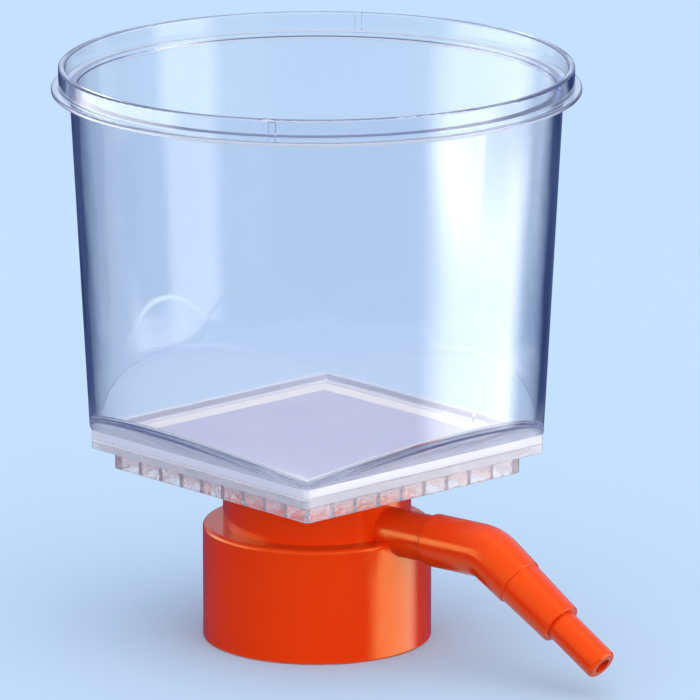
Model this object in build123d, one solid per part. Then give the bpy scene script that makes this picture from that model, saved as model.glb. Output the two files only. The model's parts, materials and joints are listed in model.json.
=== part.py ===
from build123d import *
import math
import os

# A bottle-top vacuum filtration unit with a funnel of half a litre. Millimetres, +Z up.
# The origin is the centre of the neck collar's open end, which is also what the unit
# stands on. X and Y run along the sides of the square foot.

# Neck collar, which screws onto a bottle with a 45 mm neck
NECK_BORE_RADIUS = 22.9  # wall of the bore, at the root of the neck thread
NECK_BORE_DEPTH = 18.2
COLLAR_WALL = 2.6
COLLAR_HEIGHT = 26.2
COLLAR_TOP_ROUND = 1.0
COLLAR_FOOT_ROUND = 0.5

# Seal ring for the bottle's lip, held in a shallow recess above the thread
GASKET_INNER_RADIUS = 15.6
GASKET_LAND = 0.7  # the recess is this much smaller in radius than the neck bore
GASKET_THICKNESS = 2.0
GASKET_CLEARANCE = 0.05

# Hub above the collar: the walls of the vacuum chamber around the drip spout
THROAT_RADIUS = 14.6
WEB_THICKNESS = 3.0
HUB_RADIUS = 21.0
HUB_WALL = 2.2
HUB_HEIGHT = 11.6  # above the collar's top

# Vacuum port on the hub's side
PORT_TURN = 8.0  # degrees from +X to the port, about +Z
PORT_HEIGHT = 27.6
PORT_BORE_RADIUS = 2.6
STUB_RADIUS = 5.3
STUB_REACH = 33.5  # from the unit's axis to the stub's end face
SPIGOT_RADIUS = 4.0
SPIGOT_LENGTH = 9.0
SPIGOT_CHAMFER = 0.5

# Angled, stepped hose connector, pushed over the spigot
CONNECTOR_RADIUS = 5.9
CONNECTOR_FIT = 0.05  # radial clearance around the spigot
SOCKET_END_GAP = 0.4  # from the spigot's end to the floor of the socket
ELBOW_REACH = 48.9  # from the unit's axis to the bend
ELBOW_DROP = 32.5  # degrees below the horizontal past the bend
ELBOW_RADIUS = 9.0  # of the bend's centre line
ROOT_LENGTH = 10.3  # from the bend to the first step
ROOT_END_RADIUS = 5.7
MIDDLE_LENGTH = 13.7
MIDDLE_START_RADIUS = 5.3
MIDDLE_END_RADIUS = 4.9
TIP_LENGTH = 13.7
TIP_RADIUS = 3.65
TIP_ROUND = 0.8
TIP_BORE_RADIUS = 1.9
STEP_ROUND = 0.3
SOCKET_MOUTH_ROUND = 0.4

# Moulded edges of the clear pieces
EDGE_ROUND = 0.3

# Support plate under the membrane
TIER_SIZE = 64.4  # square lower tier
TIER_HEIGHT = 4.6
TIER_WALL = 2.0
PLATE_FLANGE = 2.1  # thickness of the flange that meets the funnel's foot
BOSS_RECESS = 0.25  # the boss's top lies this far below the top of the foot
BOSS_CLEARANCE = 0.2
GROOVE_COUNT = 19
GROOVE_WIDTH = 1.3
GROOVE_DEPTH = 0.9
GATHER_WIDTH = 3.0
GATHER_DEPTH = 1.7
POCKETS_PER_SIDE = 9
POCKET_RIB = 1.2
POCKET_ROOF = 1.0  # left between the pockets and the flange
HUB_SEAT_MARGIN = 1.5  # solid plate around the hub, free of pockets
DRAIN_RADIUS = 3.0
SPOUT_WALL = 1.8
SPOUT_RISE = 0.4  # the spout ends this far above the gasket's seat
RING_DEPTH = 2.0  # locating ring inside the top of the hub
RING_WALL = 1.5
RING_CLEARANCE = 0.2

# Filter membrane. Outside the square field that filters, its border is sealed to the plate.
FIELD_SIZE = 54.6
FIELD_MARGIN = 1.4  # between the field's edge and the ends of the grooves
MEMBRANE_THICKNESS = 0.2
MEMBRANE_CLEARANCE = 0.3  # to the walls of the foot's opening

# Funnel: a tapered round wall, four sloping shoulders and a square foot
FOOT_SIZE = 71.7
FOOT_CORNER = 1.2
FOOT_THICKNESS = 2.15
CORNER_OVERHANG = 0.25  # of the round wall past the rounded corner of the foot
WALL = 1.6
SHOULDER_SLOPE = 29.7  # degrees above the horizontal
SHOULDER_WALL = 1.8
SHOULDER_ROUND = 1.2  # outside, where the shoulders turn into the round wall
SHOULDER_ROUND_INSIDE = 1.2
WALL_DRAFT = 2.95  # degrees from the vertical
WALL_HEIGHT = 78.0  # from the top of the foot to the underside of the rim
RIM_WEB = 1.7
RIM_STEP = 2.45  # from the wall's outside to the outside of the rim band
BAND_WALL = 1.5
BAND_HEIGHT = 4.0
BAND_ROUND = 0.5
LIP_REACH = 1.6  # of the thin lip past the band
LIP_THICKNESS = 1.0
LIP_ROUND = 0.4
LUG_TURN = -52.0  # degrees from +X to the first of the two lugs on the rim band
LUG_WIDTH = 1.5
LUG_PROUD = 0.6
LUG_COUNT = 2

SAME_RADIUS = 0.01  # two radii closer than this belong to the same ring

# Levels
gasket_seat = NECK_BORE_DEPTH + GASKET_THICKNESS
chamber_floor = gasket_seat + WEB_THICKNESS
hub_top = COLLAR_HEIGHT + HUB_HEIGHT
tier_top = hub_top + TIER_HEIGHT
flange_top = tier_top + PLATE_FLANGE
foot_top = flange_top + FOOT_THICKNESS
boss_top = foot_top - BOSS_RECESS
rim_underside = foot_top + WALL_HEIGHT
ledge_level = rim_underside + RIM_WEB
rim_top = ledge_level + BAND_HEIGHT

# Radii and half sizes that follow
collar_radius = NECK_BORE_RADIUS + COLLAR_WALL
recess_radius = NECK_BORE_RADIUS - GASKET_LAND
chamber_radius = HUB_RADIUS - HUB_WALL
spout_radius = DRAIN_RADIUS + SPOUT_WALL
corner_reach = FOOT_SIZE / math.sqrt(2) - FOOT_CORNER * (math.sqrt(2) - 1)
wall_foot_radius = corner_reach + CORNER_OVERHANG
shoulder_inset = SHOULDER_WALL / math.sin(math.radians(SHOULDER_SLOPE))
foot_opening = FOOT_SIZE - 2 * shoulder_inset
elbow_tangent = ELBOW_RADIUS * math.tan(math.radians(ELBOW_DROP / 2))


def wall_radius(level):
    """Outer radius of the funnel's round wall at a level."""
    return wall_foot_radius + (level - foot_top) * math.tan(math.radians(WALL_DRAFT))


def turned(points):
    """A solid of revolution about Z from (radius, level) points."""
    outline = Polyline(*[(r, 0, z) for r, z in points], close=True)
    return revolve(make_face(outline), Axis.Z)


def square_prism(size, corner, low, high):
    """A square block with rounded upright edges, between two levels."""
    return Pos(0, 0, low) * extrude(RectangleRounded(size, size, corner), high - low)


def soften(block, low=False, high=False):
    """Rounds the edges around a block's lowest face, its highest face, or both."""
    faces = block.faces().sort_by(Axis.Z)
    edges = faces[0].edges() if low else []
    edges += faces[-1].edges() if high else []
    return fillet(edges, EDGE_ROUND)


def frustum(low_size, low, high):
    """A square frustum that widens upwards along the shoulder slope."""
    spread = (high - low) / math.tan(math.radians(SHOULDER_SLOPE))
    base = Pos(0, 0, low) * Rectangle(low_size, low_size)
    top_size = low_size + 2 * spread
    top = Pos(0, 0, high) * Rectangle(top_size, top_size)
    return loft([base, top])


def shouldered_body(low_size, low, inset, top):
    """The round taper, cut to the four shoulder planes that rise from a square."""
    cone = turned([
        (0, low),
        (wall_radius(low) - inset, low),
        (wall_radius(top) - inset, top),
        (0, top),
    ])
    # The planes leave the cone below this level, and only the cone goes on above it.
    reach = wall_radius(top) - low_size / 2
    clear = low + reach * math.tan(math.radians(SHOULDER_SLOPE))
    wide = 2 * wall_radius(top)
    over = turned([(0, clear), (wide, clear), (wide, top), (0, top)])
    return cone & (frustum(low_size, low, clear) + over)


def curves_between(body, shortest, longest):
    """The free-form edges of a body whose length lies between two lengths."""
    curves = body.edges().filter_by(GeomType.BSPLINE)
    return [edge for edge in curves if shortest < edge.length < longest]


def rounded_shoulders(body, radius):
    """Rounds the short corners between the shoulders, then the arcs where they meet the wall."""
    body = fillet(curves_between(body, 0, FOOT_SIZE / 4), radius)
    return fillet(curves_between(body, FOOT_SIZE / 4, 2 * FOOT_SIZE), radius)


def make_funnel():
    # Outside, the shoulders start within the foot, at its underside.
    root_size = FOOT_SIZE - 2 * FOOT_THICKNESS / math.tan(math.radians(SHOULDER_SLOPE))
    outside = shouldered_body(root_size, flange_top, 0, rim_underside)
    outside = rounded_shoulders(outside, SHOULDER_ROUND)
    inside = shouldered_body(foot_opening, foot_top, WALL, ledge_level)
    inside = rounded_shoulders(inside, SHOULDER_ROUND_INSIDE)
    foot = soften(square_prism(FOOT_SIZE, FOOT_CORNER, flange_top, foot_top), low=True)
    opening = square_prism(foot_opening, FOOT_CORNER, flange_top, foot_top)

    wall_out = wall_radius(rim_underside)
    wall_in = wall_radius(ledge_level) - WALL
    band_out = wall_out + RIM_STEP
    band_in = band_out - BAND_WALL
    lip_out = band_out + LIP_REACH
    lip_top = rim_underside + LIP_THICKNESS
    rim = turned([
        (wall_in, rim_underside),
        (lip_out, rim_underside),
        (lip_out, lip_top),
        (band_out, lip_top),
        (band_out, rim_top),
        (band_in, rim_top),
        (band_in, ledge_level),
        (wall_in, ledge_level),
    ])
    rim = fillet(ring_edges(rim, lip_out), LIP_ROUND)
    rim = fillet(rings_at(rim, band_out, rim_top) + rings_at(rim, band_in, rim_top), BAND_ROUND)
    lug_height = BAND_HEIGHT + RIM_WEB - LIP_THICKNESS - BAND_ROUND
    lug_place = (Align.MAX, Align.CENTER, Align.MIN)
    lug = Box(BAND_WALL + LUG_PROUD, LUG_WIDTH, lug_height, align=lug_place)
    lug = Pos(band_out + LUG_PROUD, 0, lip_top) * lug
    lugs = [Rot(0, 0, LUG_TURN + 360 * i / LUG_COUNT) * lug for i in range(LUG_COUNT)]
    body = outside + foot + rim + lugs
    return body - inside - opening


def ring_edges(body, radius):
    """Circular edges of a turned body that have this radius."""
    circles = body.edges().filter_by(GeomType.CIRCLE)
    return [edge for edge in circles if abs(edge.radius - radius) < SAME_RADIUS]


def rings_at(body, radius, level):
    """Circular edges of a turned body that have this radius and lie at this level."""
    rings = ring_edges(body, radius)
    return [edge for edge in rings if abs(edge.arc_center.Z - level) < SAME_RADIUS]


def make_membrane():
    size = foot_opening - 2 * MEMBRANE_CLEARANCE
    return square_prism(size, FOOT_CORNER, boss_top, boss_top + MEMBRANE_THICKNESS)


def make_support_plate():
    tier = soften(square_prism(TIER_SIZE, FOOT_CORNER, hub_top, tier_top), low=True)
    flange = square_prism(FOOT_SIZE, FOOT_CORNER, tier_top, flange_top)
    flange = soften(flange, low=True, high=True)
    boss = square_prism(foot_opening - 2 * BOSS_CLEARANCE, FOOT_CORNER, flange_top, boss_top)
    ring_out = chamber_radius - RING_CLEARANCE
    ring_foot = hub_top - RING_DEPTH
    ring = turned([
        (ring_out - RING_WALL, ring_foot),
        (ring_out, ring_foot),
        (ring_out, hub_top),
        (ring_out - RING_WALL, hub_top),
    ])
    spout_tip = gasket_seat + SPOUT_RISE
    spout = Pos(0, 0, spout_tip) * rod(spout_radius, hub_top - spout_tip)
    drain = Pos(0, 0, spout_tip) * rod(DRAIN_RADIUS, boss_top - spout_tip)
    plate = tier + flange + boss + ring + spout
    return plate - drain - drain_grooves() - plate_pockets()


def drain_grooves():
    """Parallel grooves under the membrane, and the cross groove that leads them to the drain."""
    span = FIELD_SIZE - 2 * FIELD_MARGIN
    pitch = (span - GROOVE_WIDTH) / (GROOVE_COUNT - 1)
    top = (Align.CENTER, Align.CENTER, Align.MAX)
    groove = Box(span, GROOVE_WIDTH, GROOVE_DEPTH, align=top)
    first = -pitch * (GROOVE_COUNT - 1) / 2
    grooves = [Pos(0, first + pitch * i, boss_top) * groove for i in range(GROOVE_COUNT)]
    gather = Pos(0, 0, boss_top) * Box(GATHER_WIDTH, span, GATHER_DEPTH, align=top)
    return [gather, *grooves]


def plate_pockets():
    """Square pockets in the underside, outside the hub's seat, which leave a grid of ribs."""
    span = TIER_SIZE - 2 * TIER_WALL
    pitch = (span + POCKET_RIB) / POCKETS_PER_SIDE
    size = pitch - POCKET_RIB
    depth = TIER_HEIGHT - POCKET_ROOF
    seat = HUB_RADIUS + HUB_SEAT_MARGIN
    first = -pitch * (POCKETS_PER_SIDE - 1) / 2
    centres = [first + pitch * i for i in range(POCKETS_PER_SIDE)]
    pocket = Box(size, size, depth, align=(Align.CENTER, Align.CENTER, Align.MIN))
    pockets = []
    for x in centres:
        for y in centres:
            near = math.hypot(max(abs(x) - size / 2, 0), max(abs(y) - size / 2, 0))
            if near > seat:
                pockets.append(Pos(x, y, hub_top) * pocket)
    return pockets


def along_port(reach, drop, body):
    """Lays a body that was made along Z onto the port's line, pointing out and down by the drop."""
    return Pos(reach, 0, PORT_HEIGHT) * Rot(0, 90 + drop, 0) * body


def rod(radius, length):
    """A round rod along Z that starts at the origin."""
    return Cylinder(radius, length, align=(Align.CENTER, Align.CENTER, Align.MIN))


def make_neck_adapter():
    body = turned([
        (NECK_BORE_RADIUS, 0),
        (collar_radius, 0),
        (collar_radius, COLLAR_HEIGHT),
        (HUB_RADIUS, COLLAR_HEIGHT),
        (HUB_RADIUS, hub_top),
        (chamber_radius, hub_top),
        (chamber_radius, chamber_floor),
        (THROAT_RADIUS, chamber_floor),
        (THROAT_RADIUS, gasket_seat),
        (recess_radius, gasket_seat),
        (recess_radius, NECK_BORE_DEPTH),
        (NECK_BORE_RADIUS, NECK_BORE_DEPTH),
    ])
    body = fillet(rings_at(body, collar_radius, COLLAR_HEIGHT), COLLAR_TOP_ROUND)
    body = fillet(rings_at(body, collar_radius, 0), COLLAR_FOOT_ROUND)
    start = chamber_radius + HUB_WALL / 2
    stub = along_port(start, 0, rod(STUB_RADIUS, STUB_REACH - start))
    spigot = rod(SPIGOT_RADIUS, SPIGOT_LENGTH)
    spigot = chamfer(spigot.edges().group_by(Axis.Z)[-1], SPIGOT_CHAMFER)
    spigot = along_port(STUB_REACH, 0, spigot)
    bore_length = STUB_REACH + SPIGOT_LENGTH - THROAT_RADIUS
    bore = along_port(THROAT_RADIUS, 0, rod(PORT_BORE_RADIUS, bore_length))
    turn = Rot(0, 0, PORT_TURN)
    return body + turn * (stub + spigot) - turn * bore


def make_neck_gasket():
    outer = recess_radius - GASKET_CLEARANCE
    return turned([
        (GASKET_INNER_RADIUS, NECK_BORE_DEPTH),
        (outer, NECK_BORE_DEPTH),
        (outer, gasket_seat),
        (GASKET_INNER_RADIUS, gasket_seat),
    ])


def elbow(radius):
    """The bend of a round rod, from the end of the level run to the start of the drop."""
    slice_face = Plane.YZ * Circle(radius)
    pivot = Axis((0, 0, -ELBOW_RADIUS), (0, 1, 0))
    bend = revolve(slice_face, pivot, ELBOW_DROP)
    return Pos(ELBOW_REACH - elbow_tangent, 0, PORT_HEIGHT) * bend


def make_hose_connector():
    middle_start = ROOT_LENGTH
    tip_start = middle_start + MIDDLE_LENGTH
    tip_end = tip_start + TIP_LENGTH
    drop = turned([
        (0, elbow_tangent),
        (CONNECTOR_RADIUS, elbow_tangent),
        (ROOT_END_RADIUS, middle_start),
        (MIDDLE_START_RADIUS, middle_start),
        (MIDDLE_END_RADIUS, tip_start),
        (TIP_RADIUS, tip_start),
        (TIP_RADIUS, tip_end),
        (0, tip_end),
    ])
    steps = ring_edges(drop, ROOT_END_RADIUS) + ring_edges(drop, MIDDLE_END_RADIUS)
    drop = fillet(steps, STEP_ROUND)
    drop = fillet(rings_at(drop, TIP_RADIUS, tip_end), TIP_ROUND)
    drop_bore = turned([
        (0, elbow_tangent),
        (PORT_BORE_RADIUS, elbow_tangent),
        (PORT_BORE_RADIUS, middle_start),
        (TIP_BORE_RADIUS, tip_start),
        (TIP_BORE_RADIUS, tip_end),
        (0, tip_end),
    ])
    run = ELBOW_REACH - elbow_tangent - STUB_REACH
    barrel = rod(CONNECTOR_RADIUS, run)
    barrel = fillet(barrel.edges().group_by(Axis.Z)[0], SOCKET_MOUTH_ROUND)
    outside = along_port(STUB_REACH, 0, barrel) + elbow(CONNECTOR_RADIUS)
    outside += along_port(ELBOW_REACH, ELBOW_DROP, drop)
    bore = along_port(STUB_REACH, 0, rod(PORT_BORE_RADIUS, run)) + elbow(PORT_BORE_RADIUS)
    bore += along_port(ELBOW_REACH, ELBOW_DROP, drop_bore)
    socket = rod(SPIGOT_RADIUS + CONNECTOR_FIT, SPIGOT_LENGTH + SOCKET_END_GAP)
    body = outside - bore - along_port(STUB_REACH, 0, socket)
    return Rot(0, 0, PORT_TURN) * body


PIECES = {
    "funnel": make_funnel,
    "membrane": make_membrane,
    "support_plate": make_support_plate,
    "neck_adapter": make_neck_adapter,
    "hose_connector": make_hose_connector,
    "neck_gasket": make_neck_gasket,
}

os.makedirs("parts", exist_ok=True)
for name, make in PIECES.items():
    export_step(make(), f"parts/{name}.step")
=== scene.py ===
import json
import math

import bmesh
import bpy
from mathutils import Matrix, Vector


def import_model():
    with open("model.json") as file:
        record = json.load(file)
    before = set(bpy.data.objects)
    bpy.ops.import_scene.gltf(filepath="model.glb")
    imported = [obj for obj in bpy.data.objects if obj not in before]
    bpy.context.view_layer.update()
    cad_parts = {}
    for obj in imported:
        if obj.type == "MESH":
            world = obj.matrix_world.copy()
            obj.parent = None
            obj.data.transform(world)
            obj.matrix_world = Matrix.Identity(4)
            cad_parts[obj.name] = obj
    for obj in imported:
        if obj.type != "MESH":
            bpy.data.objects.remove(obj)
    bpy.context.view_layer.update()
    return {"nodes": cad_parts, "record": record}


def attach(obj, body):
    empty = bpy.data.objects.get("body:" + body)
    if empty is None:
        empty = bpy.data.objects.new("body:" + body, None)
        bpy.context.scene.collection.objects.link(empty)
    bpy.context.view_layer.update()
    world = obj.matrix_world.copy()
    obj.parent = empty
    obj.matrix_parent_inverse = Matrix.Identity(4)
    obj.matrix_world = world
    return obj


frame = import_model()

MM = 0.001
BODY = "root"

# The camera stands at this azimuth and elevation, in degrees, and looks at a point a little
# beside the unit's axis. Azimuth 0 is in front, and it grows towards +X.
VIEW_AZIMUTH = 47.39
VIEW_ELEVATION = 14.17
CAMERA_DISTANCE = 1.9
AIM_HEIGHT = 65.44 * MM
AIM_ASIDE = 7.35 * MM
LENS = 440.2
SENSOR = 36.0
FAR_CLIP = 100.0

# The floor and what is seen past it.
PALE = (0.50, 0.68, 0.90, 1)
FLOOR_RADIUS = 30.0
FLOOR_SEGMENTS = 64
# Light bounced off the floor, seen by what it falls on.
BOUNCE = (0.26, 0.36, 0.62, 1)
# The soft light is brightest from this many degrees to the camera's right, and weakest from
# the far side.
BRIGHT_ASIDE = 25.0
FILL_BRIGHT = (2.7, 2.57, 2.37, 1)
FILL_FAR = (0.76, 0.77, 0.82, 1)
# What mirrored directions show between the cards, from straight down to straight up.
SURROUNDINGS = [
    (0.0, (0.62, 0.66, 0.74, 1)),
    (0.24, (0.50, 0.56, 0.70, 1)),
    (0.33, (0.045, 0.075, 0.19, 1)),
    (0.47, (0.045, 0.075, 0.19, 1)),
    (0.54, (0.36, 0.41, 0.55, 1)),
    (0.60, (0.62, 0.68, 0.82, 1)),
    (1.0, (0.62, 0.68, 0.82, 1)),
]
# The cards fade out over this share of their width at each side.
SIDE_FADE = 0.3
# What is seen after more reflections than this counts as mirrored.
MIRRORED_ONCE = 0.5

CLEAR_IOR = 1.59
# Light mirrored more often than this inside a clear wall leaves it, dimmed.
TRAPPED_AFTER = 3.5
TRAPPED_TINT = (0.45, 0.52, 0.70, 1)
# What light keeps when it passes straight through a face of the funnel or of the plate.
FUNNEL_PASSES = (0.93, 0.94, 0.97, 1)
PLATE_PASSES = (0.90, 0.91, 0.94, 1)
# The foot of the funnel is cloudy up to the first level. The shoulders above it have a faint
# cloud and a matt skin, which clear from the second level to the third.
CLOUD_TOP = 46.7 * MM
SHOULDER_LOW = 47.2 * MM
SHOULDER_HIGH = 58.0 * MM
FOOT_CLEARNESS = 0.42
SHOULDER_CLEARNESS = 0.95
SHOULDER_ROUGHNESS = 0.13
# The plate's ribbed tier is clearer than its flange.
TIER_HIGH = 42.3 * MM
FLANGE_LOW = 42.5 * MM
TIER_CLEARNESS = 0.84
FLANGE_CLEARNESS = 0.56
# The membrane's field filters. Outside it, the border is sealed.
FIELD_HALF = 27.3 * MM
FIELD_EDGE = 0.35 * MM
# How strongly the coloured pieces mirror, where 0.5 is usual for plastic.
ORANGE_GLOSS = 1.0
ORANGE_GLOSS_TINT = (1.0, 0.70, 0.16, 1)
MEMBRANE_GLOSS = 0.3

# Each finish wanders between two tints.
CLEAR_TINTS = [(0.955, 0.965, 1.0, 1), (0.985, 0.985, 1.0, 1)]
CLOUD_TINTS = [(0.86, 0.87, 0.92, 1), (0.92, 0.92, 0.96, 1)]
# The tier's peach tint is a painted reflection of the orange collar below it.
TIER_PAINTED_ORANGE_REFLECTION_TINTS = [(1.0, 0.86, 0.81, 1), (1.0, 0.93, 0.90, 1)]
FLANGE_TINTS = [(0.93, 0.92, 0.95, 1), (0.98, 0.97, 0.98, 1)]
ORANGE_TINTS = [(0.87, 0.044, 0.001, 1), (0.83, 0.033, 0.001, 1)]
# Painted light: the field's blue-lavender is a painted blue cast on a white film, and the sealed
# border's whiter tint is painted brightness.
FIELD_PAINTED_BLUE_CAST_TINTS = [(0.56, 0.58, 0.77, 1), (0.63, 0.64, 0.81, 1)]
SEALED_BORDER_PAINTED_BRIGHT_TINTS = [(0.86, 0.85, 0.87, 1), (0.91, 0.90, 0.91, 1)]
RUBBER_TINTS = [(0.72, 0.72, 0.69, 1), (0.80, 0.80, 0.77, 1)]


def around(azimuth, distance, height):
    """A place at an azimuth round the unit's axis."""
    turn = math.radians(azimuth)
    return Vector((math.sin(turn) * distance, -math.cos(turn) * distance, height))


# Shader helpers ---------------------------------------------------------------------------


def blank_material(name):
    """A material with only its output node, and its node tree."""
    material = bpy.data.materials.new(name)
    material.use_nodes = True
    tree = material.node_tree
    tree.nodes.clear()
    tree.nodes.new("ShaderNodeOutputMaterial")
    return material, tree


def show(tree, shader):
    """Leads a shader to the material's surface."""
    out = next(n for n in tree.nodes if n.type == "OUTPUT_MATERIAL")
    tree.links.new(shader, out.inputs["Surface"])


def noise(tree, per_metre, detail=3.0, stretch=(1, 1, 1)):
    """Noise on object coordinates, in features per metre, stretched along the axes."""
    place = tree.nodes.new("ShaderNodeTexCoord")
    mapping = tree.nodes.new("ShaderNodeMapping")
    mapping.inputs["Scale"].default_value = stretch
    texture = tree.nodes.new("ShaderNodeTexNoise")
    texture.inputs["Scale"].default_value = per_metre
    texture.inputs["Detail"].default_value = detail
    tree.links.new(place.outputs["Object"], mapping.inputs["Vector"])
    tree.links.new(mapping.outputs["Vector"], texture.inputs["Vector"])
    return texture.outputs["Fac"]


def ranged(tree, value, start, end, low, high, ease="LINEAR"):
    """Brings a value that goes from start to end to a range."""
    node = tree.nodes.new("ShaderNodeMapRange")
    node.interpolation_type = ease
    node.inputs["From Min"].default_value = start
    node.inputs["From Max"].default_value = end
    node.inputs["To Min"].default_value = low
    node.inputs["To Max"].default_value = high
    tree.links.new(value, node.inputs["Value"])
    return node.outputs["Result"]


def faded(tree, share, start, end):
    """Goes smoothly from 0 to 1 as a share goes from one value to another."""
    return ranged(tree, share, start, end, 0.0, 1.0, ease="SMOOTHSTEP")


# Noise mostly lies within this range.
NOISE_LOW = 0.3
NOISE_HIGH = 0.7


def uneven(tree, per_metre, low, high, stretch=(1, 1, 1)):
    """A value that wanders within a range, over the surface."""
    wander = noise(tree, per_metre, stretch=stretch)
    return ranged(tree, wander, NOISE_LOW, NOISE_HIGH, low, high)


def blended(tree, value, first, second):
    """A colour between two, by a value from 0 to 1."""
    node = tree.nodes.new("ShaderNodeMix")
    node.data_type = "RGBA"
    node.inputs["A"].default_value = first
    node.inputs["B"].default_value = second
    tree.links.new(value, node.inputs["Factor"])
    return node.outputs["Result"]


def mixed(tree, value, first, second):
    """Two colours that come from nodes, mixed by a value."""
    node = tree.nodes.new("ShaderNodeMix")
    node.data_type = "RGBA"
    tree.links.new(value, node.inputs["Factor"])
    tree.links.new(first, node.inputs["A"])
    tree.links.new(second, node.inputs["B"])
    return node.outputs["Result"]


def mottled(tree, per_metre, tints):
    """A colour that wanders between two tints, over the surface."""
    return blended(tree, noise(tree, per_metre), tints[0], tints[1])


def together(tree, operation, first, second):
    """Two values, added, multiplied or compared."""
    node = tree.nodes.new("ShaderNodeMath")
    node.operation = operation
    tree.links.new(first, node.inputs[0])
    tree.links.new(second, node.inputs[1])
    return node.outputs["Value"]


def squared(tree, value):
    return together(tree, "MULTIPLY", value, value)


def bump(tree, height, depth, strength=1.0):
    """A normal from a height value; the depth is in metres."""
    node = tree.nodes.new("ShaderNodeBump")
    node.inputs["Strength"].default_value = strength
    node.inputs["Distance"].default_value = depth
    tree.links.new(height, node.inputs["Height"])
    return node.outputs["Normal"]


def by_level(tree, low, high, below, above):
    """A value that goes from one to another between two levels."""
    place = tree.nodes.new("ShaderNodeTexCoord")
    split = tree.nodes.new("ShaderNodeSeparateXYZ")
    tree.links.new(place.outputs["Object"], split.inputs["Vector"])
    return ranged(tree, split.outputs["Z"], low, high, below, above)


def mirrored_over(tree, times):
    """1 for what is seen after more than so many reflections, and 0 for the rest."""
    path = tree.nodes.new("ShaderNodeLightPath")
    node = tree.nodes.new("ShaderNodeMath")
    node.operation = "GREATER_THAN"
    node.inputs[1].default_value = times
    tree.links.new(path.outputs["Glossy Depth"], node.inputs[0])
    return node.outputs["Value"]


def is_mirrored(tree):
    """1 for what is seen in a reflection, and 0 for the rest."""
    return mirrored_over(tree, MIRRORED_ONCE)


def let_light_through(tree, shader, tint):
    """Lets lamps, soft light and light trapped in a wall pass straight through a clear shader."""
    path = tree.nodes.new("ShaderNodeLightPath")
    lit = together(tree, "MAXIMUM", path.outputs["Is Shadow Ray"], path.outputs["Is Diffuse Ray"])
    trapped = mirrored_over(tree, TRAPPED_AFTER)
    passed = together(tree, "MAXIMUM", lit, trapped)
    clear = tree.nodes.new("ShaderNodeBsdfTransparent")
    tree.links.new(blended(tree, trapped, tint, TRAPPED_TINT), clear.inputs["Color"])
    mix = tree.nodes.new("ShaderNodeMixShader")
    tree.links.new(passed, mix.inputs["Fac"])
    tree.links.new(shader, mix.inputs[1])
    tree.links.new(clear.outputs["BSDF"], mix.inputs[2])
    return mix.outputs["Shader"]


# Materials --------------------------------------------------------------------------------


def clear_polystyrene():
    """Glossy clear plastic with the faint unevenness of a moulded wall, cloudier at the foot."""
    material, tree = blank_material("clear_polystyrene")
    shader = tree.nodes.new("ShaderNodeBsdfPrincipled")
    shader.inputs["IOR"].default_value = CLEAR_IOR
    foot = by_level(tree, CLOUD_TOP, SHOULDER_LOW, FOOT_CLEARNESS / SHOULDER_CLEARNESS, 1.0)
    shoulders = by_level(tree, SHOULDER_LOW, SHOULDER_HIGH, SHOULDER_CLEARNESS, 1.0)
    clearness = together(tree, "MULTIPLY", foot, shoulders)
    tree.links.new(clearness, shader.inputs["Transmission Weight"])
    clear = mottled(tree, per_metre=45, tints=CLEAR_TINTS)
    cloud = mottled(tree, per_metre=110, tints=CLOUD_TINTS)
    above = by_level(tree, CLOUD_TOP, SHOULDER_LOW, 0.0, 1.0)
    tree.links.new(mixed(tree, above, cloud, clear), shader.inputs["Base Color"])
    polish = uneven(tree, per_metre=160, low=0.0, high=0.05, stretch=(1, 1, 0.25))
    matt = by_level(tree, SHOULDER_LOW, SHOULDER_HIGH, SHOULDER_ROUGHNESS, 0.0)
    tree.links.new(together(tree, "ADD", polish, matt), shader.inputs["Roughness"])
    flow = noise(tree, per_metre=38, detail=2.0, stretch=(1, 1, 0.35))
    tree.links.new(bump(tree, flow, depth=1.2 * MM, strength=0.25), shader.inputs["Normal"])
    show(tree, let_light_through(tree, shader.outputs["BSDF"], FUNNEL_PASSES))
    return material


def clear_plate():
    """Clear plastic with the slight haze of a thick, ribbed moulding."""
    material, tree = blank_material("clear_plate")
    shader = tree.nodes.new("ShaderNodeBsdfPrincipled")
    shader.inputs["IOR"].default_value = CLEAR_IOR
    clearness = by_level(tree, TIER_HIGH, FLANGE_LOW, TIER_CLEARNESS, FLANGE_CLEARNESS)
    tree.links.new(clearness, shader.inputs["Transmission Weight"])
    # Painted reflection: the tier's peach tint stands for orange light from the collar.
    tier = mottled(tree, per_metre=60, tints=TIER_PAINTED_ORANGE_REFLECTION_TINTS)
    flange = mottled(tree, per_metre=60, tints=FLANGE_TINTS)
    above = by_level(tree, TIER_HIGH, FLANGE_LOW, 0.0, 1.0)
    tree.links.new(mixed(tree, above, tier, flange), shader.inputs["Base Color"])
    haze = uneven(tree, per_metre=300, low=0.10, high=0.22)
    tree.links.new(haze, shader.inputs["Roughness"])
    ripple = noise(tree, per_metre=420)
    tree.links.new(bump(tree, ripple, depth=0.9 * MM, strength=0.5), shader.inputs["Normal"])
    show(tree, let_light_through(tree, shader.outputs["BSDF"], PLATE_PASSES))
    return material


def orange_moulding():
    """Glossy orange plastic with a warm gloss and slight flow marks."""
    material, tree = blank_material("orange_moulding")
    shader = tree.nodes.new("ShaderNodeBsdfPrincipled")
    shader.inputs["Specular IOR Level"].default_value = ORANGE_GLOSS
    shader.inputs["Specular Tint"].default_value = ORANGE_GLOSS_TINT
    colour = mottled(tree, per_metre=70, tints=ORANGE_TINTS)
    tree.links.new(colour, shader.inputs["Base Color"])
    polish = uneven(tree, per_metre=420, low=0.14, high=0.22)
    tree.links.new(polish, shader.inputs["Roughness"])
    grain = noise(tree, per_metre=900)
    tree.links.new(bump(tree, grain, depth=0.03 * MM, strength=0.6), shader.inputs["Normal"])
    show(tree, shader.outputs["BSDF"])
    return material


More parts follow.
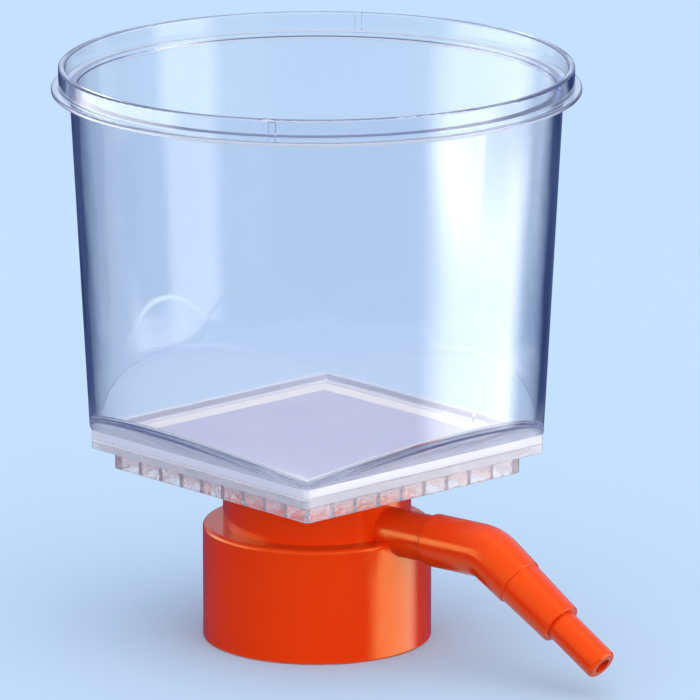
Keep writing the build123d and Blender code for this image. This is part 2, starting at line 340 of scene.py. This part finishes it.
def membrane_sheet():
    """White microporous film, matt, with a fine grain. Its field is tinted blue-lavender as a
    painted blue cast of light, and its flat sealed border is painted whiter as painted light.
    """
    material, tree = blank_material("membrane_sheet")
    shader = tree.nodes.new("ShaderNodeBsdfPrincipled")
    shader.inputs["Specular IOR Level"].default_value = MEMBRANE_GLOSS
    place = tree.nodes.new("ShaderNodeTexCoord")
    size = tree.nodes.new("ShaderNodeVectorMath")
    size.operation = "ABSOLUTE"
    split = tree.nodes.new("ShaderNodeSeparateXYZ")
    tree.links.new(place.outputs["Object"], size.inputs[0])
    tree.links.new(size.outputs["Vector"], split.inputs["Vector"])
    from_middle = together(tree, "MAXIMUM", split.outputs["X"], split.outputs["Y"])
    border = faded(tree, from_middle, FIELD_HALF, FIELD_HALF + FIELD_EDGE)
    # Painted light: a blue cast on the field, and a whiter, painted-bright sealed border.
    field = mottled(tree, per_metre=90, tints=FIELD_PAINTED_BLUE_CAST_TINTS)
    sealed = mottled(tree, per_metre=90, tints=SEALED_BORDER_PAINTED_BRIGHT_TINTS)
    tree.links.new(mixed(tree, border, field, sealed), shader.inputs["Base Color"])
    matt = uneven(tree, per_metre=2500, low=0.55, high=0.8)
    tree.links.new(matt, shader.inputs["Roughness"])
    grain = noise(tree, per_metre=3500)
    tree.links.new(bump(tree, grain, depth=0.03 * MM), shader.inputs["Normal"])
    show(tree, shader.outputs["BSDF"])
    return material


def seal_rubber():
    """Soft white rubber, matt with a fine skin."""
    material, tree = blank_material("seal_rubber")
    shader = tree.nodes.new("ShaderNodeBsdfPrincipled")
    colour = mottled(tree, per_metre=120, tints=RUBBER_TINTS)
    tree.links.new(colour, shader.inputs["Base Color"])
    matt = uneven(tree, per_metre=1500, low=0.5, high=0.7)
    tree.links.new(matt, shader.inputs["Roughness"])
    grain = noise(tree, per_metre=1800)
    tree.links.new(bump(tree, grain, depth=0.04 * MM), shader.inputs["Normal"])
    show(tree, shader.outputs["BSDF"])
    return material


def dress(node, material):
    """Gives a piece one material in place of what it has."""
    node.data.materials.clear()
    node.data.materials.append(material)


# Neck thread ------------------------------------------------------------------------------


THREAD_PITCH = 4.0 * MM
THREAD_TURNS = 1.75
THREAD_CREST = 1.25 * MM
THREAD_SINK = 0.05 * MM
THREAD_ROOT_HALF = 1.0 * MM
THREAD_CREST_HALF = 0.45 * MM
THREAD_START = 5.0 * MM
# The ridge rises from the wall over this part of a turn at each end.
THREAD_FADE = 0.09
STEPS_PER_TURN = 72


def neck_thread(bore_radius, material):
    """The right-hand ridge inside the collar's bore, faded out at both ends."""
    mesh = bpy.data.meshes.new("neck_thread")
    bm = bmesh.new()
    root = bore_radius + THREAD_SINK
    crest = bore_radius - THREAD_CREST
    outline = [
        (root, -THREAD_ROOT_HALF),
        (crest, -THREAD_CREST_HALF),
        (crest, THREAD_CREST_HALF),
        (root, THREAD_ROOT_HALF),
    ]
    ring = [bm.verts.new((radius, 0, THREAD_START + z)) for radius, z in outline]
    face = bm.faces.new(ring)
    steps = round(STEPS_PER_TURN * THREAD_TURNS)
    rise = Vector((0, 0, THREAD_PITCH * THREAD_TURNS / steps))
    bmesh.ops.spin(
        bm, geom=[face, *face.edges, *ring], cent=(0, 0, 0), axis=(0, 0, 1), dvec=rise,
        angle=2 * math.pi * THREAD_TURNS, steps=steps, use_merge=False, use_duplicate=False,
    )
    for vert in bm.verts:
        share = math.atan2(vert.co.y, vert.co.x) / (2 * math.pi)
        climbed = (vert.co.z - THREAD_START) / THREAD_PITCH
        turns = share + round(climbed - share)
        fade = min(turns, THREAD_TURNS - turns) / THREAD_FADE
        fade = max(0.0, min(1.0, fade))
        radius = math.hypot(vert.co.x, vert.co.y)
        scale = (root + (radius - root) * fade) / radius
        vert.co.x *= scale
        vert.co.y *= scale
    bmesh.ops.recalc_face_normals(bm, faces=bm.faces)
    bm.to_mesh(mesh)
    bm.free()
    piece = bpy.data.objects.new("neck_thread", mesh)
    bpy.context.collection.objects.link(piece)
    for polygon in mesh.polygons:
        polygon.use_smooth = True
    dress(piece, material)
    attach(piece, BODY)


# Stage ------------------------------------------------------------------------------------


def floor():
    """A wide pale floor. What is mirrored looks past it, to the dark and the cards."""
    mesh = bpy.data.meshes.new("floor")
    bm = bmesh.new()
    bmesh.ops.create_circle(bm, cap_ends=True, radius=FLOOR_RADIUS, segments=FLOOR_SEGMENTS)
    bm.to_mesh(mesh)
    bm.free()
    piece = bpy.data.objects.new("floor", mesh)
    bpy.context.collection.objects.link(piece)
    material, tree = blank_material("floor_paper")
    paper = tree.nodes.new("ShaderNodeBsdfDiffuse")
    path = tree.nodes.new("ShaderNodeLightPath")
    colour = blended(tree, path.outputs["Is Diffuse Ray"], PALE, BOUNCE)
    tree.links.new(colour, paper.inputs["Color"])
    through = tree.nodes.new("ShaderNodeBsdfTransparent")
    mix = tree.nodes.new("ShaderNodeMixShader")
    tree.links.new(is_mirrored(tree), mix.inputs["Fac"])
    tree.links.new(paper.outputs["BSDF"], mix.inputs[1])
    tree.links.new(through.outputs["BSDF"], mix.inputs[2])
    show(tree, mix.outputs["Shader"])
    dress(piece, material)


def surroundings(tree):
    """The colour of a direction, by how far it points up."""
    way = tree.nodes.new("ShaderNodeTexCoord")
    split = tree.nodes.new("ShaderNodeSeparateXYZ")
    tree.links.new(way.outputs["Generated"], split.inputs["Vector"])
    rise = ranged(tree, split.outputs["Z"], -1.0, 1.0, 0.0, 1.0)
    ramp = tree.nodes.new("ShaderNodeValToRGB")
    stops = ramp.color_ramp.elements
    while len(stops) < len(SURROUNDINGS):
        stops.new(1.0)
    for stop, (place, colour) in zip(stops, SURROUNDINGS):
        stop.position = place
        stop.color = colour
    tree.links.new(rise, ramp.inputs["Fac"])
    return ramp.outputs["Color"]


def towards_bright(tree):
    """How far a direction points to the bright side, from 0 to 1."""
    way = tree.nodes.new("ShaderNodeTexCoord")
    along = tree.nodes.new("ShaderNodeVectorMath")
    along.operation = "DOT_PRODUCT"
    along.inputs[1].default_value = around(VIEW_AZIMUTH + BRIGHT_ASIDE, 1, 0)
    tree.links.new(way.outputs["Generated"], along.inputs[0])
    return ranged(tree, along.outputs["Value"], -1.0, 1.0, 0.0, 1.0)


def world():
    """Soft light, most of it from one side; pale where looked at, and deep where mirrored."""
    studio = bpy.data.worlds.new("studio")
    bpy.context.scene.world = studio
    studio.use_nodes = True
    tree = studio.node_tree
    tree.nodes.clear()
    path = tree.nodes.new("ShaderNodeLightPath")
    looked_at = together(
        tree, "MAXIMUM", path.outputs["Is Camera Ray"], path.outputs["Is Transmission Ray"])
    pale = tree.nodes.new("ShaderNodeMix")
    pale.data_type = "RGBA"
    pale.inputs["B"].default_value = PALE
    side = squared(tree, squared(tree, towards_bright(tree)))
    tree.links.new(looked_at, pale.inputs["Factor"])
    tree.links.new(blended(tree, side, FILL_FAR, FILL_BRIGHT), pale.inputs["A"])
    colour = mixed(tree, is_mirrored(tree), pale.outputs["Result"], surroundings(tree))
    sky = tree.nodes.new("ShaderNodeBackground")
    out = tree.nodes.new("ShaderNodeOutputWorld")
    tree.links.new(colour, sky.inputs["Color"])
    tree.links.new(sky.outputs["Background"], out.inputs["Surface"])


def card_glow(name, width, height, radiance, bottom_fade, top_fade):
    """White light that only reflections show, faded out towards the card's four edges."""
    material, tree = blank_material(name)
    place = tree.nodes.new("ShaderNodeTexCoord")
    split = tree.nodes.new("ShaderNodeSeparateXYZ")
    tree.links.new(place.outputs["Object"], split.inputs["Vector"])
    side = width / 2
    end = height / 2
    left = faded(tree, split.outputs["X"], -side, -side + SIDE_FADE * width)
    right = faded(tree, split.outputs["X"], side, side - SIDE_FADE * width)
    bottom = faded(tree, split.outputs["Y"], -end, -end + bottom_fade * height)
    top = faded(tree, split.outputs["Y"], end, end - top_fade * height)
    sides = together(tree, "MULTIPLY", left, right)
    ends = together(tree, "MULTIPLY", bottom, top)
    share = together(tree, "MULTIPLY", sides, ends)
    glow = tree.nodes.new("ShaderNodeEmission")
    tree.links.new(ranged(tree, share, 0.0, 1.0, 0.0, radiance), glow.inputs["Strength"])
    through = tree.nodes.new("ShaderNodeBsdfTransparent")
    lit = tree.nodes.new("ShaderNodeAddShader")
    tree.links.new(glow.outputs["Emission"], lit.inputs[0])
    tree.links.new(through.outputs["BSDF"], lit.inputs[1])
    mix = tree.nodes.new("ShaderNodeMixShader")
    tree.links.new(is_mirrored(tree), mix.inputs["Fac"])
    tree.links.new(through.outputs["BSDF"], mix.inputs[1])
    tree.links.new(lit.outputs["Shader"], mix.inputs[2])
    show(tree, mix.outputs["Shader"])
    return material


def card(name, aside, distance, low, high, width, radiance, bottom_fade, top_fade):
    """An upright card, some degrees to the camera's right, that only reflections show."""
    height = high - low
    mesh = bpy.data.meshes.new(name)
    bm = bmesh.new()
    bmesh.ops.create_grid(bm, x_segments=1, y_segments=1, size=0.5)
    bmesh.ops.scale(bm, vec=(width, height, 1), verts=bm.verts)
    bm.to_mesh(mesh)
    bm.free()
    piece = bpy.data.objects.new(name, mesh)
    bpy.context.collection.objects.link(piece)
    place = around(VIEW_AZIMUTH + aside, distance, (low + high) / 2)
    outward = Vector((place.x, place.y, 0))
    facing = outward.to_track_quat("-Z", "Y").to_matrix().to_4x4()
    piece.matrix_world = Matrix.Translation(place) @ facing
    piece.visible_camera = False
    piece.visible_diffuse = False
    piece.visible_shadow = False
    dress(piece, card_glow(name, width, height, radiance, bottom_fade, top_fade))


def overhead(name, height, size, radiance):
    """A large soft light above the unit, facing down."""
    light = bpy.data.lights.new(name, "AREA")
    light.shape = "DISK"
    light.size = size
    area = math.pi * (size / 2) ** 2
    light.energy = radiance * math.pi * area
    lamp = bpy.data.objects.new(name, light)
    bpy.context.collection.objects.link(lamp)
    lamp.location = (0, 0, height)
    lamp.visible_camera = False


def camera():
    data = bpy.data.cameras.new("camera")
    data.lens = LENS
    data.sensor_width = SENSOR
    data.clip_end = FAR_CLIP
    eye = bpy.data.objects.new("camera", data)
    bpy.context.collection.objects.link(eye)
    turn = math.radians(VIEW_AZIMUTH)
    lift = math.radians(VIEW_ELEVATION)
    aim = Vector((math.cos(turn) * AIM_ASIDE, math.sin(turn) * AIM_ASIDE, AIM_HEIGHT))
    back = around(VIEW_AZIMUTH, math.cos(lift), math.sin(lift))
    eye.location = aim + back * CAMERA_DISTANCE
    eye.rotation_mode = "QUATERNION"
    eye.rotation_quaternion = (-back).to_track_quat("-Z", "Y")
    bpy.context.scene.camera = eye


# The unit ---------------------------------------------------------------------------------

nodes = frame["nodes"]
orange = orange_moulding()
dress(nodes["funnel"], clear_polystyrene())
dress(nodes["support_plate"], clear_plate())
dress(nodes["neck_adapter"], orange)
dress(nodes["hose_connector"], orange)
dress(nodes["membrane"], membrane_sheet())
dress(nodes["neck_gasket"], seal_rubber())

mounts = {mount["name"]: mount for mount in frame["record"]["mounts"]}
neck_thread(mounts["neck_thread"]["dims"]["r_mm"] * MM, orange)

# The studio -------------------------------------------------------------------------------

floor()
world()
# The tall card on the right that the funnel's back wall and rim mirror.
card("key_card", aside=69, distance=0.55, low=-0.07, high=0.6, width=0.46, radiance=2.0,
     bottom_fade=0.05, top_fade=0.1)
# Its lower half, which the front wall and the collar mirror.
card("low_card", aside=86, distance=0.54, low=-0.3, high=-0.03, width=0.8, radiance=3.2,
     bottom_fade=0.1, top_fade=0.13)
# The wide card on the left that the rim mirrors.
card("left_card", aside=-97, distance=0.6, low=-0.05, high=0.3, width=1.1, radiance=2.8,
     bottom_fade=0.12, top_fade=0.1)
overhead("top_box", height=1.2, size=1.0, radiance=0.4)
camera()
bpy.context.scene.view_settings.view_transform = "Standard"
